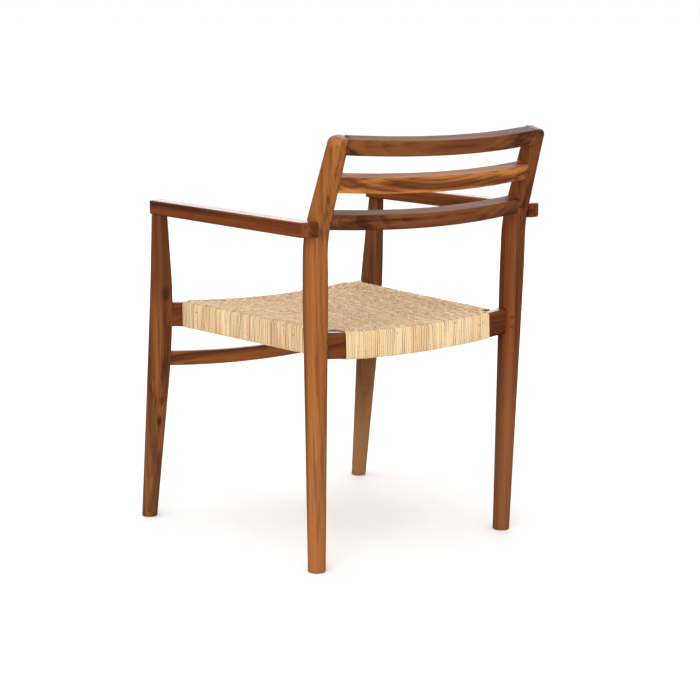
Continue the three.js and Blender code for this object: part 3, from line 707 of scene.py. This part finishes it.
class ARMCHAIR_OT_rear_legs(bpy.types.Operator):
    """Carve the rear legs, which turn into the raked stiles of the back"""
    bl_idname = "armchair.rear_legs"
    bl_label = "Rear legs"

    def execute(self, context):
        roll = context.scene.armchair_legs.top_roll / MM
        stations = ring_places(REAR_LENGTH - STILE_CORNER - roll - CROWN_START)
        crown = [(i / CROWN_ROLLS, 1) for i in range(CROWN_ROLLS + 1)]
        crown += [(1, 1 - i / CROWN_RINGS) for i in range(1, CROWN_RINGS)]
        square_to_stile = Vector((0, math.cos(RAKE), -math.sin(RAKE)))
        for side, hand in ((1, "left"), (-1, "right")):
            node = f"{hand}_rear_leg"
            bm = carve_leg(rear_section, stations, side, crown)
            made = piece(bm, f"carved_{node}", teak_finish(node), node)
            tool = bmesh.new()
            for rail in ("lower_slat", "middle_slat", "top_rail"):
                add_peg_hole(tool, f"{hand}_{rail}_peg", square_to_stile, SLAT_PEG_HOLE)
            for level in ("lower", "upper"):
                peg = f"{hand}_rear_rail_peg_{level}"
                add_peg_hole(tool, peg, Vector((0, 1, 0)), RAIL_PEG_HOLE)
            bmesh.ops.recalc_face_normals(tool, faces=tool.faces)
            cut(made, tool)
            soften(made, LEG_CREASE)
        return {"FINISHED"}


class ARMCHAIR_OT_front_legs(bpy.types.Operator):
    """Carve the front legs, tapered both ways from a long swell"""
    bl_idname = "armchair.front_legs"
    bl_label = "Front legs"

    def execute(self, context):
        stations = ring_places(FRONT_LENGTH)
        for side, hand in ((1, "left"), (-1, "right")):
            node = f"{hand}_front_leg"
            bm = carve_leg(front_section, stations, side)
            soften(piece(bm, f"carved_{node}", teak_finish(node), node), LEG_CREASE)
        return {"FINISHED"}


class ARMCHAIR_OT_arms(bpy.types.Operator):
    """Plane the arms, scribed over the rear legs"""
    bl_idname = "armchair.arms"
    bl_label = "Arms"

    def execute(self, context):
        for node in ("left_arm", "right_arm"):
            plane_piece(node)
        return {"FINISHED"}


class ARMCHAIR_OT_slats(bpy.types.Operator):
    """Plane the bowed slats and the top rail of the back"""
    bl_idname = "armchair.slats"
    bl_label = "Back slats"

    def execute(self, context):
        for node in ("lower_slat", "middle_slat", "top_rail"):
            plane_piece(node)
        return {"FINISHED"}


class ARMCHAIR_OT_seat_frame(bpy.types.Operator):
    """Plane the seat rails and the front stretcher"""
    bl_idname = "armchair.seat_frame"
    bl_label = "Seat frame"

    def execute(self, context):
        for node in ("front_seat_rail", "rear_seat_rail", "left_seat_rail", "right_seat_rail",
                     "front_stretcher"):
            plane_piece(node)
        return {"FINISHED"}


class ARMCHAIR_OT_pegs(bpy.types.Operator):
    """Finish the pegs and the hidden dowels"""
    bl_idname = "armchair.pegs"
    bl_label = "Pegs and dowels"

    def execute(self, context):
        finish = peg_finish()
        for node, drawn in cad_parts.items():
            if "_peg" in node or "_dowel" in node:
                drawn.data.materials.clear()
                drawn.data.materials.append(finish)
        return {"FINISHED"}


# Cane strands

def seat_height(x, y):
    """Top of the woven seat: straight from the front rail's hanging edge to the rear one's."""
    front = SEAT_TOP - FRONT_SAG * (1 - (x / FRONT_SPAN) ** 2)
    rear = SEAT_TOP - REAR_SAG * (1 - (x / REAR_SPAN) ** 2)
    return front + (rear - front) * clamped((y - SEAT_FRONT) / (SEAT_REAR - SEAT_FRONT))


def drift_of(rng, count, step):
    """Smooth random values from -1 to 1, one for each strand."""
    knots = [rng.uniform(-1, 1) for _ in range(count // step + 3)]
    values = []
    for i in range(count):
        k, part = divmod(i / step, 1)
        ease = smooth_step(part)
        values.append(knots[int(k)] * (1 - ease) + knots[int(k) + 1] * ease)
    return values


def strand_tints(rng, count):
    """Tint and redness of each strand, in bundles from one stem."""
    slow = drift_of(rng, count, 6)
    tints = [clamped(0.58 + 0.2 * s + rng.gauss(0, 0.13)) for s in slow]
    rosy = [0.0] * count
    for _ in range(count // 30):
        start = rng.randrange(count - 6)
        for i in range(start, start + rng.randint(2, 5)):
            rosy[i] = rng.uniform(0.5, 1.0)
    return tints, rosy


def strand_layers(bm):
    return [bm.verts.layers.float.new(name) for name in STRAND_LAYERS]


def add_strand(bm, template):
    """The vertices of one more strand."""
    count = len(bm.verts)
    bm.from_mesh(template)
    bm.verts.ensure_lookup_table()
    return bm.verts[count:]


def cane_piece(bm, template, name, finish, node):
    """A set of strands, which all point the same way: outwards, or else they are turned."""
    bpy.data.meshes.remove(template)
    if bm.calc_volume(signed=True) < 0:
        bmesh.ops.reverse_faces(bm, faces=bm.faces)
    piece(bm, name, finish, node).data.shade_smooth()


def ring_template():
    """One strand bent into a ring, with six faces round it."""
    bm = bmesh.new()
    section = bmesh.ops.create_circle(
        bm, segments=6, radius=0.25,
        matrix=Matrix.Translation((1, 0, 0)) @ Matrix.Rotation(math.pi / 2, 4, "X"))["verts"]
    bmesh.ops.spin(
        bm, geom=section + list(bm.edges), cent=(0, 0, 0), axis=(0, 0, 1),
        angle=2 * math.pi, steps=RING_STEPS, use_merge=True)
    return mesh_of(bm, "ring_template")


def rounded_loop(step, half_across, half_up, panel_corner, lift):
    """Point of a rounded rectangle, lifted off it; the corner at the woven panel is tight."""
    corner, part = divmod(step, RING_STEPS // 4)
    radius = TIGHT_TURN if corner == panel_corner else WIDE_TURN
    angle = (corner + part / 2) * math.pi / 2
    way = Vector((math.cos(angle), math.sin(angle)))
    signs = ((1, 1), (-1, 1), (-1, -1), (1, -1))[corner]
    centre = Vector((signs[0] * (half_across - radius), signs[1] * (half_up - radius)))
    return centre + way * (radius + lift)


def loose_strands(seed, start, end, count, stray):
    """Place, width, lean, roll, lift, tint and redness of strands side by side along a rail."""
    cane = bpy.context.scene.armchair_cane
    rng = random.Random(seed)
    pitch = (end - start) / count
    leans = drift_of(rng, count, 5)
    tints, rosy = strand_tints(rng, count)
    for i in range(count):
        place = start + (i + 0.5) * pitch + rng.uniform(-stray, stray)
        width = pitch * cane.fit * rng.uniform(*WRAP_WIDTHS)
        lean = leans[i] * cane.lean / MM + rng.uniform(-0.3, 0.3)
        roll, lift = rng.uniform(-0.22, 0.22), rng.uniform(-0.25, 0.15)
        yield place, width, lean, roll, lift, tints[i], rosy[i]


def wind(node, finish, strands, half_across, half_up, panel_corner, lay):
    """Winds loose strands round a rail; lay turns a place and its offsets into a point."""
    thick = bpy.context.scene.armchair_cane.thickness / MM
    template = ring_template()
    bm = bmesh.new()
    layers = strand_layers(bm)
    for place, width, lean, roll, lift, tint, rosy in strands:
        for vert in add_strand(bm, template):
            x, y, z = vert.co
            step = round(math.atan2(y, x) / (2 * math.pi) * RING_STEPS) % RING_STEPS
            spread = math.atan2(z, math.hypot(x, y) - 1)
            side, out = math.sin(spread), math.cos(spread)
            off = (out - 1) * thick / 2 + side * roll + lift
            across, up = rounded_loop(step, half_across, half_up, panel_corner, off)
            vert.co = lay(place, side * width / 2 + lean * up / half_up, across, up)
            vert[layers[0]], vert[layers[1]] = tint, rosy
            # painted shade along the strand's sides, and more over the rail's top where the weave
            # covers it
            vert[layers[2]] = abs(side) ** 4 + (TOP_SHADE if step in TOP_STEPS else 0)
    cane_piece(bm, template, f"{node}_strands", finish, node)


def wrap_cross_rail(node, finish, seed, sag, span, panel_corner):
    """Strands round the front or the rear rail."""
    low, high = (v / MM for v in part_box(node))
    half_up = RAIL_WRAP_HEIGHT / 2

    def lay(x, along, across, up):
        top = SEAT_TOP - sag * (1 - (x / span) ** 2)
        return Vector((x + along, (high.y + low.y) / 2 + across, top - half_up + up)) * MM

    count = bpy.context.scene.armchair_cane.rail_strands
    strands = loose_strands(seed, low.x, high.x, count, CROSS_STRAY)
    wind(node, finish, strands, (high.y - low.y) / 2, half_up, panel_corner, lay)


def wrap_ends(node):
    """Middle and half width of a side wrap at its front and at its rear end."""
    points = [v.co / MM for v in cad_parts[node].data.vertices]
    for y in (min(p.y for p in points), max(p.y for p in points)):
        across = [p.x for p in points if abs(p.y - y) < 0.5]
        yield (max(across) + min(across)) / 2, (max(across) - min(across)) / 2


def wrap_side_rail(node, finish, seed, panel_corner):
    """Strands round a side rail, which runs slightly inwards to the rear."""
    low, high = (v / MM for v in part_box(node))
    (front_x, half_across), (rear_x, _) = wrap_ends(node)

    def lay(y, along, across, up):
        x = front_x + (rear_x - front_x) * (y - low.y) / (high.y - low.y)
        return Vector((x + across, y + along, (high.z + low.z) / 2 + up)) * MM

    count = bpy.context.scene.armchair_cane.side_strands
    strands = loose_strands(seed, low.y, high.y, count, SIDE_STRAY)
    wind(node, finish, strands, half_across, (high.z - low.z) / 2, panel_corner, lay)


class ARMCHAIR_OT_rail_wraps(bpy.types.Operator):
    """Wind the strands round the front and the rear rail"""
    bl_idname = "armchair.rail_wraps"
    bl_label = "Front and rear wraps"

    def execute(self, context):
        finish = cane_finish("cane_across", (1500, 22, 22))
        wrap_cross_rail("front_cane_wrap", finish, 5, FRONT_SAG, FRONT_SPAN, 0)
        wrap_cross_rail("rear_cane_wrap", finish, 6, REAR_SAG, REAR_SPAN, 1)
        return {"FINISHED"}


class ARMCHAIR_OT_side_wraps(bpy.types.Operator):
    """Wind the strands round the side rails"""
    bl_idname = "armchair.side_wraps"
    bl_label = "Side wraps"

    def execute(self, context):
        finish = cane_finish("cane_along", (22, 1500, 22))
        wrap_side_rail("left_cane_wrap", finish, 7, 1)
        wrap_side_rail("right_cane_wrap", finish, 8, 0)
        return {"FINISHED"}


def flat_template(crossings):
    """One straight strand of four faces round, with two cuts for each crossing."""
    bm = bmesh.new()
    bmesh.ops.create_cone(bm, cap_ends=True, segments=4, radius1=1, radius2=1, depth=1)
    long_edges = [e for e in bm.edges if abs(e.verts[0].co.z - e.verts[1].co.z) > 0.5]
    bmesh.ops.subdivide_edges(bm, edges=long_edges, cuts=2 * crossings, use_grid_fill=True)
    return mesh_of(bm, "flat_template")


def float_looks(rng, tint, rosy, ups):
    """Tint, redness and painted shadow for each crossing, the same all along one float."""
    looks = []
    for k, up in enumerate(ups):
        if k == 0 or up != ups[k - 1]:
            # the last value is how dark the painted shadow at the float's ends is
            look = (clamped(tint - 0.1 + rng.gauss(0, 0.24)),
                    max(rosy, rng.choice((0, 0, 0, 0.7, 1.0))),
                    1.0 + 4.0 * rng.random() ** 3)
        looks.append(look)
    return looks


def weave_set(name, node, finish, seed, count, crossings, over, point, width_at, tuck=TUCK):
    """One direction of the weave; over says whether strand i passes over crossing k."""
    cane = bpy.context.scene.armchair_cane
    rng = random.Random(seed)
    tints, rosy = strand_tints(rng, count)
    thick, crimp = cane.thickness / MM * PRESSED, cane.crimp / MM
    template = flat_template(crossings)
    last = 2 * crossings + 1
    bm = bmesh.new()
    layers = strand_layers(bm)
    for i in range(count):
        wide = rng.uniform(*WEAVE_WIDTHS)
        looks = float_looks(rng, tints[i], rosy[i], [over(i, k) for k in range(crossings)])
        for vert in add_strand(bm, template):
            step = round((vert.co.z + 0.5) * last)
            spread = math.atan2(vert.co.y, vert.co.x)
            crossing = max(0, min(crossings - 1, (step - 1) // 2))
            ahead = -1 if step % 2 else 1
            dives = False
            if step in (0, last):
                along = -tuck if step == 0 else crossings + tuck
                rise = END_RISE
            else:
                along = crossing + 0.5 + ahead * FLOAT_REACH
                rise = crimp if over(i, crossing) else -crimp
                dives = over(i, crossing) and not over(i, crossing + ahead)
            across = math.cos(spread) * width_at(along) / 2 * cane.fit * wide
            vert.co = point(i, along, across, rise + math.sin(spread) * thick / 2)
            vert[layers[0]], vert[layers[1]], shadow = looks[crossing]
            # painted shadow where a float dives under, painted shade along the strand's sides
            # elsewhere
            vert[layers[2]] = shadow if dives else EDGE_SHADE * abs(math.cos(spread)) ** 4
    cane_piece(bm, template, name, finish, node)


class SeatPlan:
    """Where the strands of the seat run: warps to the rear, wefts across, in millimetres."""

    def __init__(self):
        cane = bpy.context.scene.armchair_cane
        self.front, self.rear = ([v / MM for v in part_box(f"{end}_cane_wrap")]
                                 for end in ("front", "rear"))
        self.start, end = (v.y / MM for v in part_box("left_cane_wrap"))
        self.span = end - self.start
        self.brim = cane.brim / MM
        self.warps, self.ribs = cane.rail_strands, cane.side_strands
        self.wefts = self.ribs - 1
        self.pitch = self.span / self.ribs
        rng = random.Random(13)
        self.phases = [
            2 * (pair % 2) + rng.choice((0, 0, 1, -1)) for pair in range(self.wefts // 2 + 8)]

    def half_width(self, y):
        front, rear = self.front[1].x, self.rear[1].x
        return front + (rear - front) * (y - SEAT_FRONT) / (SEAT_REAR - SEAT_FRONT)

    def warp_x(self, i, y):
        return self.half_width(y) * (2 * (i + 0.5) / self.warps - 1)

    def weft_y(self, j):
        return self.start + (j + 1) * self.pitch

    def weft_over(self, j, i):
        """Whether weft j passes over warp i: over two and under two, by hand."""
        return (i + self.phases[j // 2]) % 4 < 2

    def warp_over(self, i, j):
        return not self.weft_over(j, i)

    def warp_width(self, along):
        return 2 * self.half_width(self.weft_y(along - 0.5)) / self.warps

    def warp_point(self, i, along, across, rise):
        y = self.weft_y(along - 0.5)
        x = self.warp_x(i, y) + across
        return Vector((x, y, seat_height(x, y) - PANEL_SINK + rise)) * MM

    def weft_point(self, j, along, across, rise):
        y = self.weft_y(j)
        x = self.warp_x(along - 0.5, y)
        y += across
        return Vector((x, y, seat_height(x, y) - PANEL_SINK + rise)) * MM


def weave_over_cross_rail(plan, node, finish, seed, edge, inner):
    """Wefts that run on over the top of the front or the rear rail, from inner to edge."""
    count = round(abs(inner - edge) / plan.pitch)
    gap = (edge - inner) / count

    def over(j, i):
        return plan.weft_over(-1 - j if gap < 0 else plan.wefts + j, i)

    def point(j, along, across, rise):
        y = inner + (j + 0.5) * gap
        x = plan.warp_x(along - 0.5, y)
        return Vector((x, y + across, seat_height(x, y) - CROSS_SINK + rise)) * MM

    weave_set(f"{node}_top_strands", node, finish, seed, count, plan.warps,
              over, point, lambda along: abs(gap), FLUSH_TUCK)


def weave_over_side_rail(plan, node, finish, seed, side):
    """Warps that run on over the top of a side rail, from the panel outwards."""
    (front_x, half), (rear_x, _) = wrap_ends(node)
    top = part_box(node)[1].z / MM
    reach = 2 * half - plan.brim
    count = round(reach / (2 * plan.half_width(0) / plan.warps))
    gap = side * reach / count

    def over(i, j):
        return plan.warp_over(-1 - i if side > 0 else plan.warps + i, j)

    def point(i, along, across, rise):
        y = plan.start + along * plan.pitch
        x = front_x + (rear_x - front_x) * (y - plan.start) / plan.span
        return Vector((
            x - side * half + (i + 0.5) * gap + across, y, top - SIDE_SINK + rise)) * MM

    weave_set(f"{node}_top_strands", node, finish, seed, count, plan.ribs,
              over, point, lambda along: abs(gap), FLUSH_TUCK)


class ARMCHAIR_OT_woven_seat(bpy.types.Operator):
    """Weave the seat: strands over two and under two, both ways"""
    bl_idname = "armchair.woven_seat"
    bl_label = "Woven seat"

    def execute(self, context):
        plan = SeatPlan()
        warp_finish, weft_finish = (bpy.data.materials[n] for n in ("cane_across", "cane_along"))
        weave_set("seat_warp_strands", "woven_panel", warp_finish, 11, plan.warps, plan.wefts,
                  plan.warp_over, plan.warp_point, plan.warp_width)
        weave_set("seat_weft_strands", "woven_panel", weft_finish, 12, plan.wefts, plan.warps,
                  plan.weft_over, plan.weft_point, lambda along: plan.pitch)
        for node, seed, edge, inner in (
                ("front_cane_wrap", 21, plan.front[0].y + plan.brim, plan.front[1].y),
                ("rear_cane_wrap", 22, plan.rear[1].y - plan.brim, plan.rear[0].y)):
            weave_over_cross_rail(plan, node, weft_finish, seed, edge, inner)
        weave_over_side_rail(plan, "left_cane_wrap", warp_finish, 23, 1)
        weave_over_side_rail(plan, "right_cane_wrap", warp_finish, 24, -1)
        return {"FINISHED"}


# Stage

FLOOR_REACH = 400  # metres from its middle to its edge
MIRRORED_FLOOR = (0.08, 0.07, 0.06)  # what the wood's sheen shows of it
MIRRORED_RISE = (0.06, 0.2)  # height over the horizon where the mirrored room turns bright


def softbox(name, place, target, size, watts):
    data = bpy.data.lights.new(name, "AREA")
    data.shape, (data.size, data.size_y) = "RECTANGLE", size
    data.energy = watts
    lamp = placed(name, data)
    lamp.location = place
    lamp.rotation_euler = (Vector(target) - Vector(place)).to_track_quat("-Z", "Y").to_euler()


def lay_floor(studio):
    paint = Finish("pale_floor")
    mirrored = paint.node("LightPath", out="Is Glossy Ray")
    finish = paint.surface({
        "Base Color": paint.blend(studio.floor[:], MIRRORED_FLOOR, mirrored), "Roughness": 0.9})
    bm = bmesh.new()
    bmesh.ops.create_grid(bm, x_segments=4, y_segments=4, size=FLOOR_REACH)
    floor = placed("floor", mesh_of(bm, "floor"))
    floor.data.materials.append(finish)


def light_room(studio):
    """A white room that is dimmer for the light on the chair than for the camera."""
    world = bpy.data.worlds.new("studio")
    bpy.context.scene.world = world
    make = Nodes(world)
    height = make.parts(make.node("TexCoord", out="Generated"))[2]
    mirrored = make.node("MapRange", None, {
        "Value": height, "From Min": MIRRORED_RISE[0], "From Max": MIRRORED_RISE[1],
        "To Min": studio.mirrored, "To Max": studio.mirrored_above})
    glossy, viewed = (
        make.node("LightPath", out=f"Is {ray} Ray") for ray in ("Glossy", "Camera"))
    dimmed = make.node("Mix", None, {0: glossy, 2: studio.sky, 3: mirrored})
    strength = make.node("Mix", None, {0: viewed, 2: dimmed, 3: 1.0})
    room = make.node("Background", None, {"Color": (1, 1, 1, 1), "Strength": strength})
    make.node("OutputWorld", None, {"Surface": room})


def hang_lights(studio):
    data = bpy.data.lights.new("ceiling", "SUN")
    data.energy, data.angle = studio.ceiling, math.radians(110)
    placed("ceiling", data).rotation_euler = (math.radians(-12), math.radians(22), 0)
    softbox("key_softbox", (2.6, 2.0, 1.9), (0, 0, 0.45), (1.5, 1.5), studio.key)
    softbox("low_fill", (1.3, 3.2, 0.5), (0, 0, 0.25), (1.8, 0.8), studio.fill)
    softbox("rim_panel", (-2.9, -3.4, 1.75), (0, 0, 0.6), (3.6, 1.3), studio.rim)


def set_camera(studio):
    pitch, turn, roll = studio.aim
    ahead = Vector((
        -math.sin(turn) * math.cos(pitch), -math.cos(turn) * math.cos(pitch), -math.sin(pitch)))
    right = Vector((-math.cos(turn), math.sin(turn), 0))
    up = right.cross(ahead)
    right, up = (right * math.cos(roll) + up * math.sin(roll),
                 up * math.cos(roll) - right * math.sin(roll))
    camera = placed("camera", bpy.data.cameras.new("camera"))
    camera.data.lens, camera.data.sensor_width = studio.lens, 36
    camera.matrix_world = Matrix.Translation(studio.eye) @ Matrix(
        (right, up, -ahead)).transposed().to_4x4()
    bpy.context.scene.camera = camera


class ARMCHAIR_OT_studio(bpy.types.Operator):
    """Lay the pale floor, hang the softboxes and set the camera"""
    bl_idname = "armchair.studio"
    bl_label = "Floor, light and camera"

    def execute(self, context):
        studio = context.scene.armchair_studio
        lay_floor(studio)
        light_room(studio)
        hang_lights(studio)
        set_camera(studio)
        context.scene.view_settings.view_transform = "Standard"
        return {"FINISHED"}


STEPS = (
    ARMCHAIR_OT_rear_legs, ARMCHAIR_OT_front_legs, ARMCHAIR_OT_arms, ARMCHAIR_OT_slats,
    ARMCHAIR_OT_seat_frame, ARMCHAIR_OT_pegs, ARMCHAIR_OT_rail_wraps, ARMCHAIR_OT_side_wraps,
    ARMCHAIR_OT_woven_seat, ARMCHAIR_OT_studio,
)
SETTINGS = {
    "armchair_legs": ArmchairLegs,
    "armchair_teak": ArmchairTeak,
    "armchair_pegs": ArmchairPegs,
    "armchair_cane": ArmchairCane,
    "armchair_studio": ArmchairStudio,
}


class ARMCHAIR_PT_sidebar(bpy.types.Panel):
    """Settings of the armchair and a button for each group of pieces"""
    bl_idname = "ARMCHAIR_PT_sidebar"
    bl_label = "Armchair"
    bl_space_type = "VIEW_3D"
    bl_region_type = "UI"
    bl_category = "Armchair"

    def draw(self, context):
        for name, group in SETTINGS.items():
            box = self.layout.box()
            box.label(text=group.__doc__)
            for prop in group.__annotations__:
                box.prop(getattr(context.scene, name), prop)
        for step in STEPS:
            self.layout.operator(step.bl_idname)


CLASSES = (*SETTINGS.values(), *STEPS, ARMCHAIR_PT_sidebar)


def register():
    for each in CLASSES:
        bpy.utils.register_class(each)
    for name, group in SETTINGS.items():
        setattr(bpy.types.Scene, name, PointerProperty(type=group))


def unregister():
    for name in SETTINGS:
        delattr(bpy.types.Scene, name)
    for each in reversed(CLASSES):
        bpy.utils.unregister_class(each)


def main():
    register()
    for step in STEPS:
        group, name = step.bl_idname.split(".")
        getattr(getattr(bpy.ops, group), name)()


if __name__ == "__main__":
    main()
